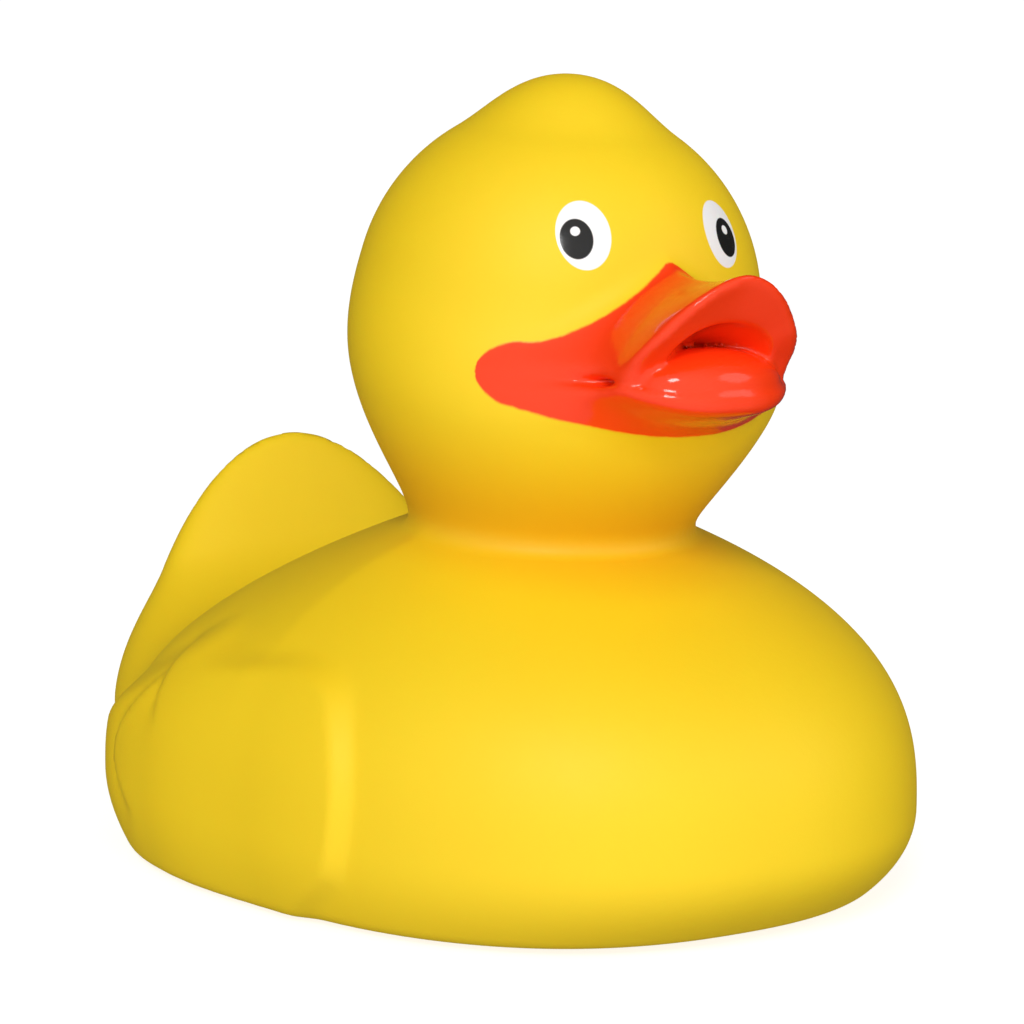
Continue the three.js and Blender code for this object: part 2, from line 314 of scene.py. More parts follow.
@dataclass(frozen=True)
class Trunk:
    """The egg-shaped body, widest low down and flat underneath."""

    middle: float = 4.616
    half_width: float = 36.878
    front: float = 55.881
    back: float = 27.705
    widest_at: float = 8.974
    crown: float = 40.081
    back_fall: float = 0.229
    base_side: float = 0.957
    base_front: float = 0.908
    base_back: float = 0.882
    plan_power: float = 2.273
    plan_power_back: float = 2.485
    crown_power: float = 1.266
    crown_tilt: float = -0.067
    side_power: float = 2.683
    tuck_power: float = 2.0
    rear_blend: float = 30.0
    tilt_reach: float = 20.0
    evenness: float = 0.001
    steepness: float = 0.6
    neck: Neck = field(default_factory=Neck)
    wing: Wing = field(default_factory=Wing)

    def form(self, x: Array, y: Array, z: Array) -> Array:
        """Measure how far points lie outside the body and its wings.

        Args:
            x: Left.
            y: Back.
            z: Up.

        Returns:
            Approximate distance.
        """
        crown = self.crown - self.back_fall * np.clip(y - self.neck.y, 0.0, None)
        up = np.clip((z - self.widest_at) / (crown - self.widest_at), 0.0, None)
        down = np.clip((self.widest_at - z) / self.widest_at, 0.0, None)
        back = y - self.middle
        length = np.where(back < 0.0, self.front, self.back)
        rear = ease(0.5 + back / self.rear_blend)
        n = self.plan_power + (self.plan_power_back - self.plan_power) * rear
        plan = (np.abs(x / self.half_width) ** n + np.abs(back / length) ** n + TINY) ** (1.0 / n)
        m = self.crown_power + self.crown_tilt * back / np.sqrt(x * x + back * back + self.tilt_reach**2)
        egg = (plan**m + up**self.side_power) ** (2.0 / (m + self.side_power))
        away = (back / length) ** 2
        lengthwise = away / (away + (x / self.half_width) ** 2 + self.evenness)
        base_end = self.base_front + (self.base_back - self.base_front) * rear
        base = self.base_side + (base_end - self.base_side) * lengthwise
        tuck = (1.0 - base) * down**self.tuck_power
        return (egg + tuck - 1.0) * self.steepness * self.half_width - self.wing.lift(x, y, z)


@dataclass(frozen=True)
class Tail:
    """The fan that sweeps up behind the body."""

    root: tuple[float, float] = (38.85, 11.55)
    tip: tuple[float, float] = (48.62, 39.50)
    half_width: float = 24.037
    side_power: float = 1.939
    tip_power: float = 1.237
    half_root: float = 12.328
    half_tip: float = 2.804
    sag: float = 1.012
    round_power: float = 2.2
    root_fall: float = 1.2
    steepness: float = 0.9

    def form(self, x: Array, y: Array, z: Array) -> Array:
        """Measure how far points lie outside the fan.

        Args:
            x: Left.
            y: Back.
            z: Up.

        Returns:
            Approximate distance.
        """
        dy, dz = self.tip[0] - self.root[0], self.tip[1] - self.root[1]
        length = math.hypot(dy, dz)
        along = ((y - self.root[0]) * dy + (z - self.root[1]) * dz) / length**2
        share = np.clip(along, 0.0, 1.0)
        across = ((y - self.root[0]) * dz - (z - self.root[1]) * dy) / length
        across = across - self.sag * 4.0 * share * (1.0 - share)
        half = self.half_root + (self.half_tip - self.half_root) * share
        outline = (
            np.abs(x / self.half_width) ** self.side_power
            + np.clip(along, 0.0, None) ** self.tip_power
            + np.clip(-self.root_fall * along, 0.0, None) ** 2
            + TINY
        )
        fan = outline ** (2.0 / (self.side_power + self.tip_power))
        n = self.round_power
        rounded = (fan**n + np.abs(across / half) ** n) ** (1.0 / n)
        return (rounded - 1.0) * half * self.steepness


@dataclass(frozen=True)
class Crest:
    """The low tuft on top of the head."""

    y: float = -13.814
    z: float = 71.425
    radii: tuple[float, float, float] = (9.40, 9.72, 8.67)

    def form(self, x: Array, y: Array, z: Array) -> Array:
        """Measure how far points lie outside the tuft."""
        return ellipsoid(x, y - self.y, z - self.z, self.radii)


@dataclass(frozen=True)
class Bill:
    """The broad open bill: a curled upper lip, a mouth with a tongue, and a lower lip.

    Places along the bill are counted forward of the head's middle, and heights over the mouth line.
    """

    seam: float = -5.8
    lip_front: float = 33.5
    lip_sweep: float = 3.1
    sweep_at: float = 8.0
    sweep_power: float = 2.6
    sweep_limit: float = 10.0
    lip_hook: float = 3.0
    hook_height: float = 4.4
    hook_from: float = 4.0
    hook_over: float = 4.0
    lip_half: float = 9.4
    lip_past: float = 0.3
    rim_round: float = 1.0
    cheek_spread: float = 7.1
    cheek_from: float = 25.0
    cheek_to: float = 12.5
    cheek_power: float = 1.4
    cheek_most: float = 1.25
    cheek_fullness: float = 1.3
    lip_fullness: float = 0.4
    fullness_from: float = 21.0
    fullness_over: float = 9.0
    saddle: float = 8.9
    saddle_at: float = 26.5
    lip_lift: float = 1.1
    lip_tuck: float = 0.09
    tuck_height: float = 2.4
    tuck_over: float = 3.0
    tuck_from: float = 24.0
    tuck_along: float = 4.0
    lift_limits: tuple[float, float] = (-1.5, 1.1)
    seam_drop: float = 0.5
    seam_round: float = 1.2
    steepness: float = 0.42
    mouth_half: float = 6.9
    mouth_roof: float = 5.2
    mouth_at: float = 30.2
    mouth_from: float = 23.0
    mouth_floor: float = 0.4
    mouth_narrow: float = 0.5
    mouth_narrow_over: float = 8.0
    mouth_steepness: float = 0.7
    flare_ease: float = 0.1
    mouth_fullness: tuple[float, float] = (2.0, 1.7)
    chin_front: float = 31.2
    chin_from: float = 14.0
    chin_depth: float = 7.0
    chin_lip: float = 2.9
    chin_power: float = 1.2
    chin_fullness: tuple[float, float] = (2.0, 2.6)
    chin_round: float = 1.2
    chin_edge: float = 0.7
    chin_top: float = 0.2
    chin_droop: float = 0.8
    droop_from: float = 25.0
    droop_over: float = 5.0
    jaw_from: float = 28.5
    jaw_power: float = 1.25
    jaw_inset: float = 0.9
    tongue_at: tuple[float, float] = (26.3, -0.4)
    tongue_radii: tuple[float, float, float] = (7.6, 4.7, 3.3)
    tongue_blend: float = 0.6
    groove_depth: float = 0.55
    groove_half: float = 0.85
    groove_over: float = 0.1
    groove_to: float = 26.0
    groove_fade: float = 4.0
    corner_turn: float = 53.5
    corner_back: float = 6.0
    corner_round: float = 2.5
    seam_blend: float = 0.4

    def half_width(self, ahead: Array) -> Array:
        """Half width of the bill at a place along it."""
        cheek = np.clip((self.cheek_from - ahead) / (self.cheek_from - self.cheek_to), 0.0, self.cheek_most)
        return self.lip_half + self.cheek_spread * cheek**self.cheek_power

    def jaw_half(self, ahead: Array) -> Array:
        """Half width of the lower bill, which narrows more evenly."""
        cheek = np.clip((self.jaw_from - ahead) / (self.jaw_from - self.cheek_to), 0.0, self.cheek_most)
        return self.lip_half - self.jaw_inset + self.cheek_spread * cheek**self.jaw_power

    def swept(self, side: Array, ahead: Array) -> Array:
        """Straighten the swept-back lips, so that a rim is at one place all along."""
        share = np.clip(side, 0.0, self.sweep_limit) / self.sweep_at
        return ahead + self.lip_sweep * share**self.sweep_power

    def hooked(self, side: Array, ahead: Array, over: Array) -> Array:
        """Straighten the upper lip, which also runs back where it comes down to the mouth line.

        Args:
            side: Distance from the middle plane.
            ahead: Place along the bill.
            over: Height over the mouth line.

        Returns:
            Place along the bill that the straightened lip would have.
        """
        low = ease((self.hook_height - over) / self.hook_height)
        outer = ease((side - self.hook_from) / self.hook_over)
        return self.swept(side, ahead) + self.lip_hook * low * outer

    def upper(self, side: Array, ahead: Array, over: Array) -> Array:
        """Measure how far points lie outside the upper bill.

        Args:
            side: Distance from the middle plane.
            ahead: Place along the bill.
            over: Height over the mouth line.

        Returns:
            Approximate distance.
        """
        near_lip = ease((ahead - self.tuck_from) / self.tuck_along)
        tuck = near_lip * ease((self.tuck_height - over) / self.tuck_over)
        half = self.half_width(ahead) * (1.0 - self.lip_tuck * tuck)
        lift = np.clip((ahead - self.saddle_at) / (self.lip_front - self.saddle_at), *self.lift_limits)
        height = self.saddle + self.lip_lift * lift**2
        p = self.cheek_fullness + self.lip_fullness * ease((ahead - self.fullness_from) / self.fullness_over)
        arch = ((side / half) ** p + (np.clip(over, 0.0, None) / height) ** p + TINY) ** (1.0 / p)
        shell = (arch - 1.0) * self.steepness * (half + height)
        past_lip = self.hooked(side, ahead, over) - self.lip_front - self.lip_past
        shell = blend_max(shell, past_lip, self.rim_round)
        return blend_max(shell, -over - self.seam_drop, self.seam_round)

    def mouth(self, side: Array, ahead: Array, over: Array) -> Array:
        """Measure how far points lie outside the mouth, which flares towards the lip.

        Args:
            side: Distance from the middle plane.
            ahead: Place along the bill.
            over: Height over the mouth line.

        Returns:
            Approximate distance.
        """
        place = self.hooked(side, ahead, over)
        flare = (place - self.mouth_at) / (self.lip_front - self.mouth_at)
        flare = 0.5 * (flare + np.hypot(flare, self.flare_ease))
        narrow = 1.0 - self.mouth_narrow * ease((self.mouth_at - ahead) / self.mouth_narrow_over)
        half = self.mouth_half * narrow + (self.lip_half - self.mouth_half) * flare
        roof = self.mouth_roof * narrow + (self.saddle + self.lip_lift - self.mouth_roof) * flare
        inner, outer = self.mouth_fullness
        p = inner + (outer - inner) * np.clip(flare, 0.0, 1.0)
        high = np.abs(over + self.mouth_floor) / (roof + self.mouth_floor)
        arch = ((side / half) ** p + high**p + TINY) ** (1.0 / p)
        tunnel = (arch - 1.0) * np.minimum(half, roof) * self.mouth_steepness
        return blend_max(tunnel, self.mouth_from - ahead, self.rim_round)

    def lower(self, side: Array, ahead: Array, over: Array) -> Array:
        """Measure how far points lie outside the lower bill and the tongue.

        Args:
            side: Distance from the middle plane.
            ahead: Place along the bill.
            over: Height over the mouth line.

        Returns:
            Approximate distance.
        """
        place = self.swept(side, ahead)
        nose = np.clip((place - self.chin_from) / (self.chin_front - self.chin_from), 0.0, 1.0)
        depth = self.chin_depth - (self.chin_depth - self.chin_lip) * nose**self.chin_power
        half = self.jaw_half(ahead)
        cheek, lip = self.chin_fullness
        p = cheek + (lip - cheek) * nose
        under = ((side / half) ** p + (np.clip(-over, 0.0, None) / depth) ** p + TINY) ** (1.0 / p)
        shell = (under - 1.0) * self.steepness * (half + depth)
        shell = blend_max(shell, place - self.chin_front, self.chin_round)
        droop = self.chin_droop * ease((ahead - self.droop_from) / self.droop_over)
        shell = blend_max(shell, over + self.chin_top + droop, self.chin_edge)
        tongue = ellipsoid(side, ahead - self.tongue_at[0], over - self.tongue_at[1], self.tongue_radii)
        return blend_min(shell, tongue, self.tongue_blend)

    def form(self, side: Array, ahead: Array, over: Array) -> Array:
        """Measure how far points lie outside the whole bill.

        Args:
            side: Distance from the middle plane.
            ahead: Place along the bill.
            over: Height over the mouth line.

        Returns:
            Approximate distance.
        """
        upper = blend_max(self.upper(side, ahead, over), -self.mouth(side, ahead, over), self.rim_round)
        whole = blend_min(upper, self.lower(side, ahead, over), self.seam_blend)
        groove = np.exp(-(((over + self.groove_over) / self.groove_half) ** 2))
        whole = whole + self.groove_depth * groove * ease((self.groove_to - ahead) / self.groove_fade)
        turn = np.arctan2(side, ahead)
        corner = (turn - math.radians(self.corner_turn)) * np.hypot(side, ahead)
        corner = np.maximum(corner, self.corner_back - ahead)
        return blend_max(whole, corner, self.corner_round)


@dataclass(frozen=True)
class Head:
    """The ball head with its neck, tuft and bill."""

    y: float = -12.515
    z: float = 57.521
    radius: float = 20.214
    neck_blend: float = 9.161
    crest_blend: float = 2.0
    bill_blend: float = 1.8
    jaw_blend: float = 3.2
    jaw_at: float = -1.0
    jaw_over: float = 4.0
    neck: Neck = field(default_factory=Neck)
    crest: Crest = field(default_factory=Crest)
    bill: Bill = field(default_factory=Bill)

    def form(self, x: Array, y: Array, z: Array) -> Array:
        """Measure how far points lie outside the head.

        Args:
            x: Left.
            y: Back.
            z: Up.

        Returns:
            Approximate distance.
        """
        ball = np.sqrt(x * x + (y - self.y) ** 2 + (z - self.z) ** 2) - self.radius
        skull = blend_min(ball, self.neck.form(x, y, z), self.neck_blend)
        skull = blend_min(skull, self.crest.form(x, y, z), self.crest_blend)
        over = z - self.z - self.bill.seam
        bill = self.bill.form(np.abs(x), self.y - y, over)
        under = ease((self.jaw_at - over) / self.jaw_over)
        return blend_min(skull, bill, self.bill_blend + (self.jaw_blend - self.bill_blend) * under)


@dataclass(frozen=True)
class BaseHole:
    """The stepped hole in the flat base that the squeaker is pressed into."""

    y: float = -3.0
    radius: float = 7.0
    seat_radius: float = 8.5
    seat_depth: float = 0.9
    room_radius: float = 10.5
    room_from: float = 2.2
    room_to: float = 11.0
    overlap: float = 1.0

    def form(self, x: Array, y: Array, z: Array) -> Array:
        """Measure how far points lie outside the hole and the room behind it.

        Args:
            x: Left.
            y: Back.
            z: Up.

        Returns:
            Approximate distance.
        """
        out = np.hypot(x, y - self.y)
        bore = np.maximum(out - self.radius, z - self.room_from - self.overlap)
        seat = np.maximum(out - self.seat_radius, z - self.seat_depth)
        room = np.maximum(out - self.room_radius, np.maximum(self.room_from - z, z - self.room_to))
        return np.minimum(np.minimum(bore, seat), room)


@dataclass(frozen=True)
class DuckForm:
    """The whole outer skin of the duck."""

    trunk: Trunk = field(default_factory=Trunk)
    tail: Tail = field(default_factory=Tail)
    head: Head = field(default_factory=Head)
    hole: BaseHole = field(default_factory=BaseHole)
    tail_blend: float = 12.0
    neck_fillet: float = 1.635
    base_round: float = 1.5

    def distance(self, points: Array) -> Array:
        """Measure how far points lie outside the duck.

        Args:
            points: Rows of x, y, z in millimetres.

        Returns:
            One approximate distance a row, negative inside.
        """
        x, y, z = points[..., 0], points[..., 1], points[..., 2]
        body = blend_min(self.trunk.form(x, y, z), self.tail.form(x, y, z), self.tail_blend)
        body = blend_max(body, -z, self.base_round)
        duck = blend_min(body, self.head.form(x, y, z), self.neck_fillet)
        return np.maximum(duck, -self.hole.form(x, y, z))

    def slope(self, points: Array) -> Array:
        """Work out the outward slope of the distance at each point.

        Args:
            points: Rows of x, y, z in millimetres.

        Returns:
            One slope a row.
        """
        reach = 0.02
        steps = []
        for axis in range(3):
            shift = np.zeros(3)
            shift[axis] = reach
            steps.append((self.distance(points + shift) - self.distance(points - shift)) / (2.0 * reach))
        return np.stack(steps, axis=-1)


# ---------------------------------------------------------------- skin meshing


@dataclass(frozen=True)
class SkinMesher:
    """Turns a form into a mesh of quads: one point in each cell that the skin passes through."""

    coarse: float = 0.8
    fine: float = 0.42
    grow: float = 0.12
    relax_rounds: int = 6
    pull_rounds: int = 6
    least_slope: float = 0.02
    longest_move: float = 0.6

    def lines(self, low: float, high: float, fine_from: float, fine_to: float) -> Array:
        """Lay grid lines that are closer together over one stretch.

        Args:
            low: First line.
            high: Last line.
            fine_from: Where the close spacing starts.
            fine_to: Where it ends.

        Returns:
            Positions of the lines.
        """
        here = low
        places = [low]
        while here < high:
            apart = max(fine_from - here, here - fine_to, 0.0)
            here += min(self.coarse, self.fine + self.grow * apart)
            places.append(here)
        return np.array(places)

    def net(self, form: DuckForm, lines: list[Array]) -> tuple[Array, Array]:
        """Lay a net of quads over the skin.

        Args:
            form: The shape to cover.
            lines: Grid lines along x, y and z.

        Returns:
            Points and quads.
        """
        shape = tuple(len(line) for line in lines)
        values = np.empty(shape)
        for i, x in enumerate(lines[0]):
            gy, gz = np.meshgrid(lines[1], lines[2], indexing="ij")
            values[i] = form.distance(np.stack([np.full(gy.shape, x), gy, gz], axis=-1))
        inside = values < 0.0
        total = np.zeros(tuple(n - 1 for n in shape) + (3,))
        count = np.zeros(tuple(n - 1 for n in shape))
        crossings = []
        for axis in range(3):
            lower = tuple(slice(None, -1) if a == axis else slice(None) for a in range(3))
            upper = tuple(slice(1, None) if a == axis else slice(None) for a in range(3))
            cut = np.argwhere(inside[lower] != inside[upper])
            there = cut.copy()
            there[:, axis] += 1
            a = values[tuple(cut.T)]
            b = values[tuple(there.T)]
            share = a / (a - b)
            start = np.stack([lines[k][cut[:, k]] for k in range(3)], axis=-1)
            end = np.stack([lines[k][there[:, k]] for k in range(3)], axis=-1)
            point = start + (end - start) * share[:, None]
            around = [k for k in range(3) if k != axis]
            for first in (0, 1):
                for second in (0, 1):
                    cell = cut.copy()
                    cell[:, around[0]] -= first
                    cell[:, around[1]] -= second
                    np.add.at(total, tuple(cell.T), point)
                    np.add.at(count, tuple(cell.T), 1.0)
            crossings.append((axis, cut, inside[tuple(cut.T)]))
        used = count > 0
        index = np.full(used.shape, -1)
        index[used] = np.arange(int(used.sum()))
        points = total[used] / count[used][:, None]
        quads = []
        for axis, cut, starts_inside in crossings:
            u, v = (axis + 1) % 3, (axis + 2) % 3
            corners = []
            for du, dv in ((1, 1), (0, 1), (0, 0), (1, 0)):
                cell = cut.copy()
                cell[:, u] -= du
                cell[:, v] -= dv
                corners.append(index[tuple(cell.T)])
            ring = np.stack(corners, axis=-1)
            quads.append(np.where(starts_inside[:, None], ring, ring[:, ::-1]))
        return points, np.concatenate(quads)

    def settle(self, form: DuckForm, points: Array, quads: Array) -> Array:
        """Spread the points evenly and pull them onto the skin.

        Args:
            form: The shape to cover.
            points: Points of the net.
            quads: Faces of the net.

        Returns:
            Points on the skin.
        """
        ends = np.concatenate([quads[:, [0, 1]], quads[:, [1, 2]], quads[:, [2, 3]], quads[:, [3, 0]]])
        number = np.bincount(ends.ravel(), minlength=len(points))
        for step in range(self.relax_rounds + self.pull_rounds):
            if step < self.relax_rounds:
                mean = np.empty_like(points)
                for axis in range(3):
                    mean[:, axis] = (
                        np.bincount(ends[:, 0], points[ends[:, 1], axis], len(points))
                        + np.bincount(ends[:, 1], points[ends[:, 0], axis], len(points))
                    ) / number
                points = points + 0.5 * (mean - points)
            slope = form.slope(points)
            steep = np.clip((slope**2).sum(axis=-1), self.least_slope, None)
            move = (form.distance(points) / steep)[:, None] * slope
            size = np.linalg.norm(move, axis=-1, keepdims=True)
            points = points - move * np.minimum(1.0, self.longest_move / (size + TINY))
        return points


# ---------------------------------------------------------------- finishes


class Nodes:
    """A short way to lay shader nodes in one material."""

    def __init__(self, name: str) -> None:
        """Start a material with a principled shader.

        Args:
            name: Name of the material.
        """
        self.material = bpy.data.materials.new(name)
        self.material.use_nodes = True
        self.tree = self.material.node_tree
        self.shader = self.tree.nodes["Principled BSDF"]

    def add(self, kind: str, **settings: object) -> bpy.types.Node:
        """Add a node and set its properties.

        Args:
            kind: Blender's node type.
            **settings: Properties of the node.

        Returns:
            The node.
        """
        node = self.tree.nodes.new(kind)
        for key, value in settings.items():
            setattr(node, key, value)
        return node

    def feed(self, socket: bpy.types.NodeSocket, value: object) -> None:
        """Link a socket or set a constant on an input.

        Args:
            socket: The input.
            value: Another node's output, or a constant.
        """
        if isinstance(value, bpy.types.NodeSocket):
            self.tree.links.new(value, socket)
        else:
            socket.default_value = value

    def maths(self, how: str, a: object, b: object = 0.0, c: object = 0.0) -> bpy.types.NodeSocket:
        """Work out a number from up to three others.

        Args:
            how: Name of the operation.
            a: First number.
            b: Second number.
            c: Third number.

        Returns:
            The result's socket.
        """
        node = self.add("ShaderNodeMath", operation=how)
        for socket, value in zip(node.inputs, (a, b, c)):
            self.feed(socket, value)
        return node.outputs[0]

    def mix(self, share: object, a: object, b: object) -> bpy.types.NodeSocket:
        """Mix two colours.

        Args:
            share: Share of the second colour.
            a: First colour.
            b: Second colour.

        Returns:
            The mixed colour's socket.
        """
        node = self.add("ShaderNodeMix", data_type="RGBA")
        self.feed(node.inputs[0], share)
        self.feed(node.inputs[6], a)
        self.feed(node.inputs[7], b)
        return node.outputs[2]

    def step(self, value: object, start: float, end: float) -> bpy.types.NodeSocket:
        """Rise from 0 to 1 between two values.

        Args:
            value: The number to look at.
            start: Where the rise starts.
            end: Where it ends.

        Returns:
            The result's socket.
        """
        node = self.add("ShaderNodeMapRange", interpolation_type="SMOOTHSTEP")
        self.feed(node.inputs[0], value)
        node.inputs[1].default_value = start
        node.inputs[2].default_value = end
        return node.outputs[0]

    def noise(self, scale: float, detail: float = 2.0) -> bpy.types.NodeSocket:
        """Make soft noise in the duck's own coordinates.

        Args:
            scale: How fine the noise is.
            detail: How many finer layers it has.

        Returns:
            The noise's socket.
        """
        place = self.add("ShaderNodeTexCoord").outputs["Object"]
        node = self.add("ShaderNodeTexNoise")
        self.feed(node.inputs["Vector"], place)
        node.inputs["Scale"].default_value = scale
        node.inputs["Detail"].default_value = detail
        return node.outputs[0]

    def bump(self, strength: float, scale: float) -> None:
        """Roughen the surface finely.

        Args:
            strength: How strong the relief is.
            scale: How fine it is.
        """
        node = self.add("ShaderNodeBump")
        node.inputs["Strength"].default_value = strength
        node.inputs["Distance"].default_value = 0.1 * MM
        self.feed(node.inputs["Height"], self.noise(scale))
        self.feed(self.shader.inputs["Normal"], node.outputs[0])


def colour(red: float, green: float, blue: float) -> tuple[float, float, float, float]:
    """Turn display values from 0 to 255 into a linear shader colour.

    Args:
        red: Red.
        green: Green.
        blue: Blue.

    Returns:
        The shader colour, with full opacity.
    """
    linear = []
    for value in (red, green, blue):
        v = value / 255.0
        linear.append(v / 12.92 if v <= 0.04045 else ((v + 0.055) / 1.055) ** 2.4)
    return (linear[0], linear[1], linear[2], 1.0)


def duller(tone: tuple[float, ...], shares: tuple[float, float, float]) -> tuple[float, ...]:
    """Take some of the red, green and blue out of a shader colour."""
    return tuple(c * s for c, s in zip(tone[:3], shares)) + (1.0,)


@dataclass(frozen=True)
class EyePaint:
    """One painted eye: a white oval, a dark pupil in it and a small white dot.

    Azimuth, elevation and lean are degrees about the head's middle, and the sizes are millimetres.
    """

    azimuth: float = 24.2
    elevation: float = 21.0
    white: tuple[float, float] = (2.58, 3.42)
    pupil: tuple[float, float] = (1.56, 1.98)
    pupil_shift: tuple[float, float] = (0.72, -0.32)
    dot: float = 0.46
    dot_shift: tuple[float, float] = (0.72, 0.42)
    lean: float = 8.4


@dataclass(frozen=True)
class VinylFinish:
    """Satin yellow vinyl with glossy bill paint and painted eyes."""

    yellow: tuple[float, float, float] = (252, 213, 24)
    orange: tuple[float, float, float] = (255, 62, 14)
    # Yellower orange on the saddle: partly thin paint, partly a painted reflection of the yellow head.
    thin_and_reflected_orange: tuple[float, float, float] = (255, 120, 20)
    # Painted shade: a darker yellow laid round the neck crease in place of the shade that falls there.
    neck_shade_yellow: tuple[float, float, float] = (232, 176, 14)
    white: tuple[float, float, float] = (250, 248, 246)
    black: tuple[float, float, float] = (30, 29, 28)
    cloud_shares: tuple[float, float, float] = (0.985, 0.95, 0.85)
    paint_edge: tuple[float, float] = (-0.12, 0.14)
    edge_wobble: float = 0.18
    vinyl_roughness: float = 0.55
    paint_roughness: float = 0.12
    roughness_wobble: float = 0.06
    cloud_scale: float = 60.0
    edge_scale: float = 900.0
    wobble_scale: float = 240.0
    grain: tuple[float, float] = (0.12, 1400.0)
    eye: EyePaint = field(default_factory=EyePaint)

    def make(self, head: Head) -> bpy.types.Material:
        """Build the painted vinyl.

        Args:
            head: The head that the eyes are painted on.

        Returns:
            The material.
        """
        n = Nodes("painted_vinyl")
        # Masks: bill paint, thin saddle paint with a painted reflection, and painted shade round the neck.
        paint, thin_and_reflected, neck_shade_share = (
            n.add("ShaderNodeAttribute", attribute_name=name).outputs["Fac"]
            for name in ("bill_paint", "thin_paint_and_reflection", "painted_neck_shade")
        )
        yellow = colour(*self.yellow)
        vinyl = n.mix(n.noise(self.cloud_scale), duller(yellow, self.cloud_shares), yellow)
        # Painted shade: the vinyl turns a darker yellow round the neck crease.
        vinyl = n.mix(neck_shade_share, vinyl, colour(*self.neck_shade_yellow))
        # The saddle's orange turns yellower: partly thin paint, partly a painted reflection of the yellow
        # head.
        bill = n.mix(thin_and_reflected, colour(*self.orange), colour(*self.thin_and_reflected_orange))
        wavy = n.maths("MULTIPLY", n.maths("SUBTRACT", n.noise(self.edge_scale), 0.5), self.edge_wobble)
        is_bill = n.step(n.maths("ADD", paint, wavy), *self.paint_edge)
        base = n.mix(is_bill, vinyl, bill)

        white, pupil, dot = self.eye_masks(n, head)
        for mask, tone in ((white, self.white), (pupil, self.black), (dot, self.white)):
            base = n.mix(mask, base, colour(*tone))
        n.feed(n.shader.inputs["Base Color"], base)

        rough = n.add("ShaderNodeMapRange")
        n.feed(rough.inputs[0], n.maths("MAXIMUM", is_bill, white))
        rough.inputs[3].default_value = self.vinyl_roughness
        rough.inputs[4].default_value = self.paint_roughness
        half = 0.5 * self.roughness_wobble
        wobble = n.maths("MULTIPLY_ADD", n.noise(self.wobble_scale), self.roughness_wobble, -half)
        n.feed(n.shader.inputs["Roughness"], n.maths("ADD", rough.outputs[0], wobble))

        n.bump(*self.grain)
        n.shader.inputs["IOR"].default_value = 1.5
        n.shader.inputs["Specular IOR Level"].default_value = 0.36
        n.shader.inputs["Subsurface Weight"].default_value = 0.12
        n.shader.inputs["Subsurface Radius"].default_value = (1.0, 0.55, 0.12)
        n.shader.inputs["Subsurface Scale"].default_value = 0.0015
        return n.material

    def eye_masks(self, n: Nodes, head: Head) -> tuple[object, object, object]:
        """Lay the masks of the eye paint.

        Args:
            n: The material's nodes.
            head: The head that the eyes are painted on.

        Returns:
            Masks of the white oval, the pupil and the dot.
        """
        e = self.eye
        az, el, lean = (math.radians(v) for v in (e.azimuth, e.elevation, e.lean))
        outward = Vector((math.sin(az) * math.cos(el), -math.cos(az) * math.cos(el), math.sin(el)))
        across = Vector((math.cos(az), math.sin(az), 0.0))
        upward = outward.cross(across)
        wide = across * math.cos(lean) - upward * math.sin(lean)
        tall = across * math.sin(lean) + upward * math.cos(lean)
        centre = Vector((0.0, head.y, head.z)) + outward * head.radius
        place = n.add("ShaderNodeTexCoord").outputs["Object"]
        split = n.add("ShaderNodeSeparateXYZ")
        n.feed(split.inputs[0], place)
        side = n.maths("ABSOLUTE", split.outputs[0])
        join = n.add("ShaderNodeCombineXYZ")
        n.feed(join.inputs[0], side)
        n.feed(join.inputs[1], split.outputs[1])
        n.feed(join.inputs[2], split.outputs[2])
        local = n.add("ShaderNodeVectorMath", operation="SUBTRACT")
        n.feed(local.inputs[0], join.outputs[0])
        local.inputs[1].default_value = centre * MM

        def along(way: Vector) -> bpy.types.NodeSocket:
            """Measure along one way in millimetres.

            Args:
                way: Direction of unit length.

            Returns:
                The measure's socket.
            """
            dot = n.add("ShaderNodeVectorMath", operation="DOT_PRODUCT")
            n.feed(dot.inputs[0], local.outputs[0])
            dot.inputs[1].default_value = way
            return n.maths("MULTIPLY", dot.outputs["Value"], 1.0 / MM)

        u, v, depth = along(wide), along(tall), along(outward)
        near = n.maths("GREATER_THAN", depth, -4.0)

        def oval(half: tuple[float, float], shift: tuple[float, float]) -> bpy.types.NodeSocket:
            """Mask one oval.

            Args:
                half: Half width and half height.
                shift: Place of its middle.

            Returns:
                The mask's socket.
            """
            a = n.maths("DIVIDE", n.maths("SUBTRACT", u, shift[0]), half[0])
            b = n.maths("DIVIDE", n.maths("SUBTRACT", v, shift[1]), half[1])
            ring = n.maths("SQRT", n.maths("ADD", n.maths("MULTIPLY", a, a), n.maths("MULTIPLY", b, b)))
            inside = n.maths("MULTIPLY", n.maths("SUBTRACT", 1.0, ring), min(half))
            return n.maths("MULTIPLY", n.step(inside, -0.05, 0.05), near)

        return (
            oval(e.white, (0.0, 0.0)),
            oval(e.pupil, e.pupil_shift),
            oval((e.dot, e.dot), e.dot_shift),
        )


@dataclass(frozen=True)
class SqueakerFinish:
    """Hard off-white plastic of the squeaker."""

    tone: tuple[float, float, float] = (242, 240, 234)
    cloud_shares: tuple[float, float, float] = (0.92, 0.92, 0.92)
    cloud_scale: float = 300.0
    roughness: tuple[float, float] = (0.24, 0.12)
    roughness_scale: float = 700.0
    grain: tuple[float, float] = (0.1, 1800.0)

    def make(self) -> bpy.types.Material:
        """Build the plastic.

        Returns:
            The material.
        """
        n = Nodes("squeaker_plastic")
        tone = colour(*self.tone)
        clouded = n.mix(n.noise(self.cloud_scale), duller(tone, self.cloud_shares), tone)
        n.feed(n.shader.inputs["Base Color"], clouded)
        least, spread = self.roughness
        rough = n.maths("MULTIPLY_ADD", n.noise(self.roughness_scale), spread, least)
        n.feed(n.shader.inputs["Roughness"], rough)
        n.bump(*self.grain)
        return n.material


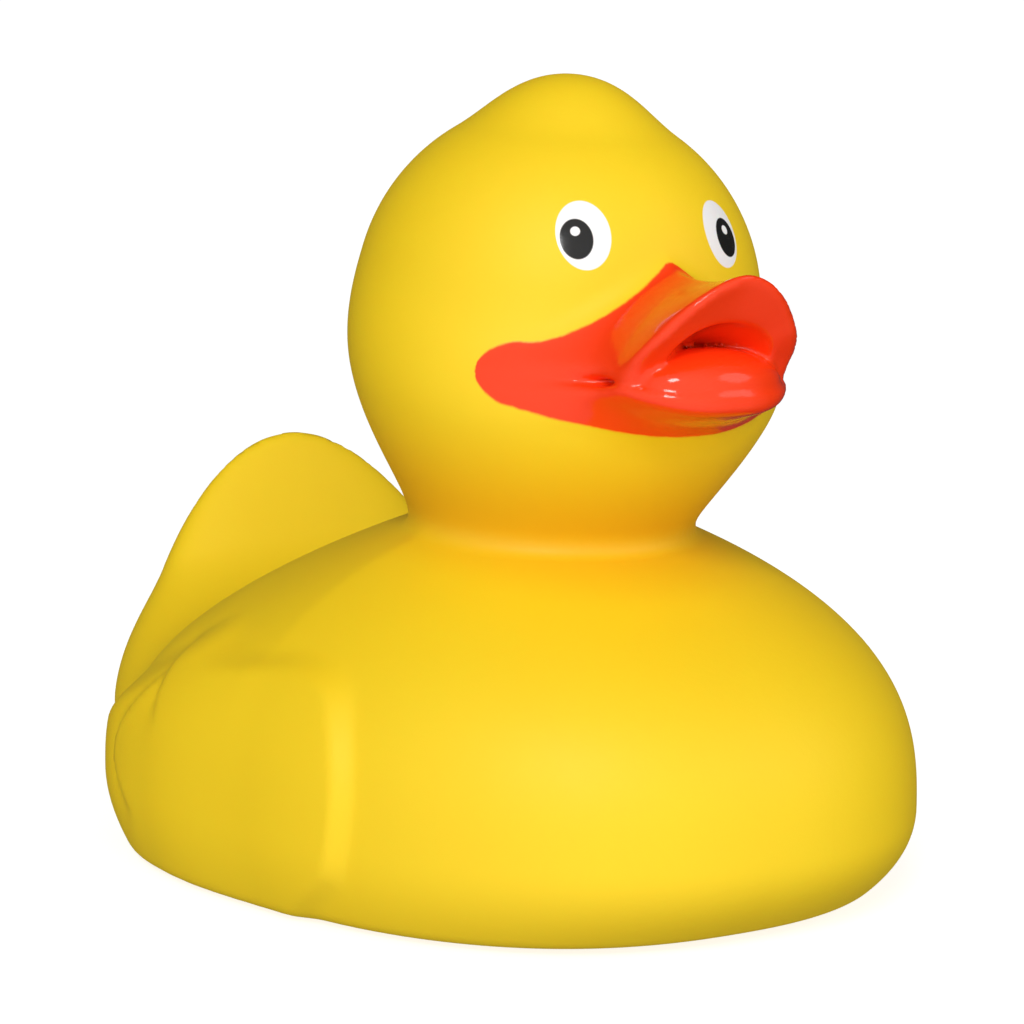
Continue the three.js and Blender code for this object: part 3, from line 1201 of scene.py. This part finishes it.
@dataclass(frozen=True)
class FloorFinish:
    """Plain matt white floor of a light table, which glows a little from below."""

    tone: float = 0.5
    glow: float = 0.78

    def make(self) -> bpy.types.Material:
        """Build the floor's material.

        Returns:
            The material.
        """
        n = Nodes("plain_floor")
        n.shader.inputs["Base Color"].default_value = (self.tone, self.tone, self.tone, 1.0)
        n.shader.inputs["Roughness"].default_value = 0.9
        n.shader.inputs["Specular IOR Level"].default_value = 0.1
        n.shader.inputs["Emission Color"].default_value = (1.0, 1.0, 1.0, 1.0)
        n.shader.inputs["Emission Strength"].default_value = self.glow
        return n.material


# ---------------------------------------------------------------- pieces


@dataclass(frozen=True)
class BillPaint:
    """Where the bill's paint lies, in degrees about the head's middle.

    From the middle plane the upper edge falls from the brow to a level line over the cheek, and the lower
    edge rises a little under the chin. Near the end both turn towards each other in a round end.
    """

    brow: float = 13.0
    brow_start: float = 14.0
    level: float = -7.0
    fall_over: float = 38.0
    fall_power: float = 1.6
    chin: float = -26.0
    chin_rise: float = 7.5
    chin_power: float = 1.7
    end: float = 51.8
    end_height: float = -13.4
    round_top: float = 40.5
    round_bottom: float = 44.0
    border: float = 3.0
    behind: float = 8.0

    def turned(self, azimuth: Array, edge: Array, start: float) -> Array:
        """Turn one edge in towards the round end.

        Args:
            azimuth: Angle from straight ahead.
            edge: Elevation of the edge without the round end.
            start: Where the turn starts.

        Returns:
            Elevation of the edge.
        """
        share = np.clip((azimuth - start) / (self.end - start), 0.0, 1.0)
        return self.end_height + (edge - self.end_height) * np.sqrt(1.0 - share**2)

    def inside(self, head: Head, points: Array) -> Array:
        """Measure how far points lie inside the painted patch.

        Args:
            head: The head that carries the bill.
            points: Points on the skin.

        Returns:
            Distance inside the paint's edge in millimetres, negative outside.
        """
        x = np.abs(points[:, 0])
        up = points[:, 2] - head.z
        ahead = head.y - points[:, 1]
        out = np.sqrt(x**2 + up**2 + ahead**2)
        azimuth = np.degrees(np.arctan2(x, ahead))
        elevation = np.degrees(np.arcsin(np.clip(up / out, -1.0, 1.0)))
        fall = np.clip(1.0 - azimuth / self.fall_over, 0.0, 1.0) ** self.fall_power
        top = np.minimum(self.level + (self.brow_start - self.level) * fall, self.brow)
        bottom = self.chin + self.chin_rise * (azimuth / self.end) ** self.chin_power
        top = self.turned(azimuth, top, self.round_top)
        bottom = self.turned(azimuth, bottom, self.round_bottom)
        within = np.minimum(np.minimum(top - elevation, elevation - bottom) * 0.8, self.end - azimuth)
        edge = np.where(ahead > self.behind, within * math.radians(1.0) * head.radius, -self.border)
        return np.clip(edge, -self.border, self.border)


@dataclass(frozen=True)
class Toning:
    """Where the bill's paint lies thinly, with a painted reflection of the yellow head, and where painted
    shade darkens the vinyl round the neck.
    """

    saddle_half: float = 6.0
    saddle_at: float = 24.0
    saddle_along: float = 4.5
    saddle_up: float = 2.0
    saddle_over: float = 3.0
    # Strength of the thin paint together with its painted reflection.
    thinness_and_reflection: float = 0.05
    neck_reach: float = 26.0
    neck_fade: float = 4.0
    neck_top: float = 13.0
    neck_over: float = 12.0
    neck_foot: float = -4.0
    foot_over: float = 4.0
    # Strength of the painted shade round the neck crease.
    depth: float = 0.85

    def thin_and_reflected(self, head: Head, points: Array) -> Array:
        """Work out how thinly the paint lies on the bill's saddle, where it also gets a painted reflection
        of the yellow head.

        Args:
            head: The head that carries the bill.
            points: Points on the skin.

        Returns:
            Share of the yellower orange at each point: partly thin paint, partly painted reflection.
        """
        ahead = head.y - points[:, 1]
        lengthwise = (ahead - self.saddle_at) / self.saddle_along
        saddle = np.exp(-((points[:, 0] / self.saddle_half) ** 2) - lengthwise**2)
        return self.thinness_and_reflection * saddle * ease((points[:, 2] - head.z - self.saddle_up) / self.saddle_over)

    def neck_shade(self, neck: Neck, points: Array) -> Array:
        """Work out how much painted shade darkens the vinyl round the neck crease, where it faces down under
        the head.

        Args:
            neck: The neck.
            points: Points on the skin.

        Returns:
            Share of the painted shade at each point.
        """
        over = neck.over(points[:, 1], points[:, 2])
        out = np.hypot(points[:, 0], points[:, 1] - neck.y)
        near = ease((self.neck_reach - out) / self.neck_fade)
        below_head = ease((self.neck_top - over) / self.neck_over)
        above_back = ease((over - self.neck_foot) / self.foot_over)
        return self.depth * below_head * above_back * near


@dataclass
class DuckSkin:
    """The painted vinyl moulding."""

    form: DuckForm = field(default_factory=DuckForm)
    mesher: SkinMesher = field(default_factory=SkinMesher)
    finish: VinylFinish = field(default_factory=VinylFinish)
    toning: Toning = field(default_factory=Toning)
    paint: BillPaint = field(default_factory=BillPaint)
    grid_x: tuple[float, float] = (-42.0, 42.0)
    grid_y: tuple[float, float] = (-54.0, 54.0)
    grid_z: tuple[float, float] = (-1.5, 83.0)
    fine_x: tuple[float, float] = (-17.0, 17.0)
    fine_y: tuple[float, float] = (-48.0, -27.0)
    fine_z: tuple[float, float] = (44.0, 64.0)

    def build(self) -> bpy.types.Object:
        """Mesh, paint and place the skin.

        Returns:
            The finished piece.
        """
        head = self.form.head
        spans = ((self.grid_x, self.fine_x), (self.grid_y, self.fine_y), (self.grid_z, self.fine_z))
        lines = [self.mesher.lines(*grid, *fine) for grid, fine in spans]
        points, quads = self.mesher.net(self.form, lines)
        points = self.mesher.settle(self.form, points, quads)
        points[:, 2] = np.maximum(points[:, 2], 0.0)
        mesh = bpy.data.meshes.new("duck_skin")
        mesh.from_pydata((points * MM).tolist(), [], quads.tolist())
        mesh.polygons.foreach_set("use_smooth", np.ones(len(quads), bool))
        layers = {
            "bill_paint": self.paint.inside(head, points),
            "thin_paint_and_reflection": self.toning.thin_and_reflected(head, points),
            # The painted shade round the neck is carried as a point attribute.
            "painted_neck_shade": self.toning.neck_shade(head.neck, points),
        }
        for name, values in layers.items():
            layer = mesh.attributes.new(name, "FLOAT", "POINT")
            layer.data.foreach_set("value", values.astype(np.float32))
        mesh.materials.append(self.finish.make(head))
        mesh.update()
        skin = bpy.data.objects.new("duck_skin", mesh)
        bpy.context.scene.collection.objects.link(skin)
        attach(skin, "root")
        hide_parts("duck_shell")
        LOG.info("duck_skin: %d points, %d quads", len(points), len(quads))
        return skin


@dataclass
class Squeaker:
    """The pressed-in squeaker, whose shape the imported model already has."""

    finish: SqueakerFinish = field(default_factory=SqueakerFinish)
    nodes: tuple[str, ...] = ("squeaker_plug", "squeaker_reed")

    def dress(self, frame: dict) -> None:
        """Give the squeaker's pieces their plastic.

        Args:
            frame: The loaded model.
        """
        plastic = self.finish.make()
        for name in self.nodes:
            piece = frame["nodes"][name]
            for place in piece.material_slots:
                place.material = plastic
            LOG.info("%s: dressed", name)


class Light(Enum):
    """Soft boxes: place in metres, aim height, size and power in watts."""

    KEY = ((-1.15, -1.45, 1.3), 0.04, 0.6, 17.0)
    FILL = ((1.2, -1.5, 1.0), 0.04, 1.2, 6.0)


@dataclass
class Studio:
    """Floor, soft light and camera. Angles are degrees, places are metres, and the lens is millimetres."""

    camera_at: tuple[float, float, float] = (-0.14124, -0.24400, 0.07040)
    heading: float = -30.442
    tilt: float = 7.123
    roll: float = 0.187
    lens: float = 95.463
    sensor: float = 36.0
    sky_front: float = 1.06
    sky_back: float = 0.06
    sky_turn: tuple[float, float] = (-1.0, 0.4)
    backdrop: float = 1.05
    floor_half: float = 1.0

    def build(self) -> None:
        """Set up the floor, the light and the camera."""
        self.add_floor()
        self.add_lights()
        self.add_sky()
        self.add_camera()

    def add_floor(self) -> None:
        """Lay the plain floor."""
        mesh = bpy.data.meshes.new("floor")
        half = self.floor_half
        corners = [(-half, -half, 0.0), (half, -half, 0.0), (half, half, 0.0), (-half, half, 0.0)]
        mesh.from_pydata(corners, [], [(0, 1, 2, 3)])
        mesh.materials.append(FloorFinish().make())
        floor = bpy.data.objects.new("floor", mesh)
        floor.visible_diffuse = False
        floor.visible_glossy = False
        bpy.context.scene.collection.objects.link(floor)

    def add_lights(self) -> None:
        """Hang the soft boxes."""
        for light in Light:
            place, aim, size, power = light.value
            data = bpy.data.lights.new(light.name.lower(), "AREA")
            data.shape = "DISK"
            data.size = size
            data.energy = power
            lamp = bpy.data.objects.new(light.name.lower(), data)
            lamp.location = place
            lamp.rotation_euler = (Vector((0, 0, aim)) - Vector(place)).to_track_quat("-Z", "Y").to_euler()
            bpy.context.scene.collection.objects.link(lamp)

    def add_sky(self) -> None:
        """Light the sky softly from the near side, with a plain backdrop."""
        world = bpy.data.worlds.new("sky")
        world.use_nodes = True
        tree = world.node_tree
        way = math.radians(self.heading)
        place = tree.nodes.new("ShaderNodeTexCoord")
        dot = tree.nodes.new("ShaderNodeVectorMath")
        dot.operation = "DOT_PRODUCT"
        dot.inputs[1].default_value = (-math.sin(way), math.cos(way), 0.0)
        tree.links.new(place.outputs["Generated"], dot.inputs[0])
        ramp = tree.nodes.new("ShaderNodeMapRange")
        ramp.interpolation_type = "SMOOTHSTEP"
        ramp.inputs[1].default_value = self.sky_turn[0]
        ramp.inputs[2].default_value = self.sky_turn[1]
        ramp.inputs[3].default_value = self.sky_front
        ramp.inputs[4].default_value = self.sky_back
        tree.links.new(dot.outputs["Value"], ramp.inputs[0])
        back = tree.nodes["Background"]
        back.inputs[0].default_value = (1.0, 1.0, 1.0, 1.0)
        path = tree.nodes.new("ShaderNodeLightPath")
        seen = tree.nodes.new("ShaderNodeMix")
        seen.inputs[3].default_value = self.backdrop
        tree.links.new(path.outputs["Is Camera Ray"], seen.inputs[0])
        tree.links.new(ramp.outputs[0], seen.inputs[2])
        tree.links.new(seen.outputs[0], back.inputs[1])
        bpy.context.scene.world = world

    def add_camera(self) -> None:
        """Place the camera."""
        data = bpy.data.cameras.new("camera")
        data.sensor_fit = "HORIZONTAL"
        data.sensor_width = self.sensor
        data.lens = self.lens
        data.clip_end = 50.0
        camera = bpy.data.objects.new("camera", data)
        way = math.radians(self.heading)
        down = math.radians(self.tilt)
        ahead = Vector((-math.sin(way) * math.cos(down), math.cos(way) * math.cos(down), -math.sin(down)))
        camera.location = self.camera_at
        aim = ahead.to_track_quat("-Z", "Y").to_matrix()
        camera.rotation_euler = (Matrix.Rotation(-math.radians(self.roll), 3, ahead) @ aim).to_euler()
        bpy.context.scene.collection.objects.link(camera)
        bpy.context.scene.camera = camera


def main() -> None:
    """Build the duck and its studio."""
    logging.basicConfig(level=logging.INFO, format="%(name)s: %(message)s")
    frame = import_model()
    DuckSkin().build()
    Squeaker().dress(frame)
    Studio().build()
    bpy.context.scene.view_settings.view_transform = "Standard"
    bpy.context.view_layer.update()


if __name__ == "__main__":
    main()
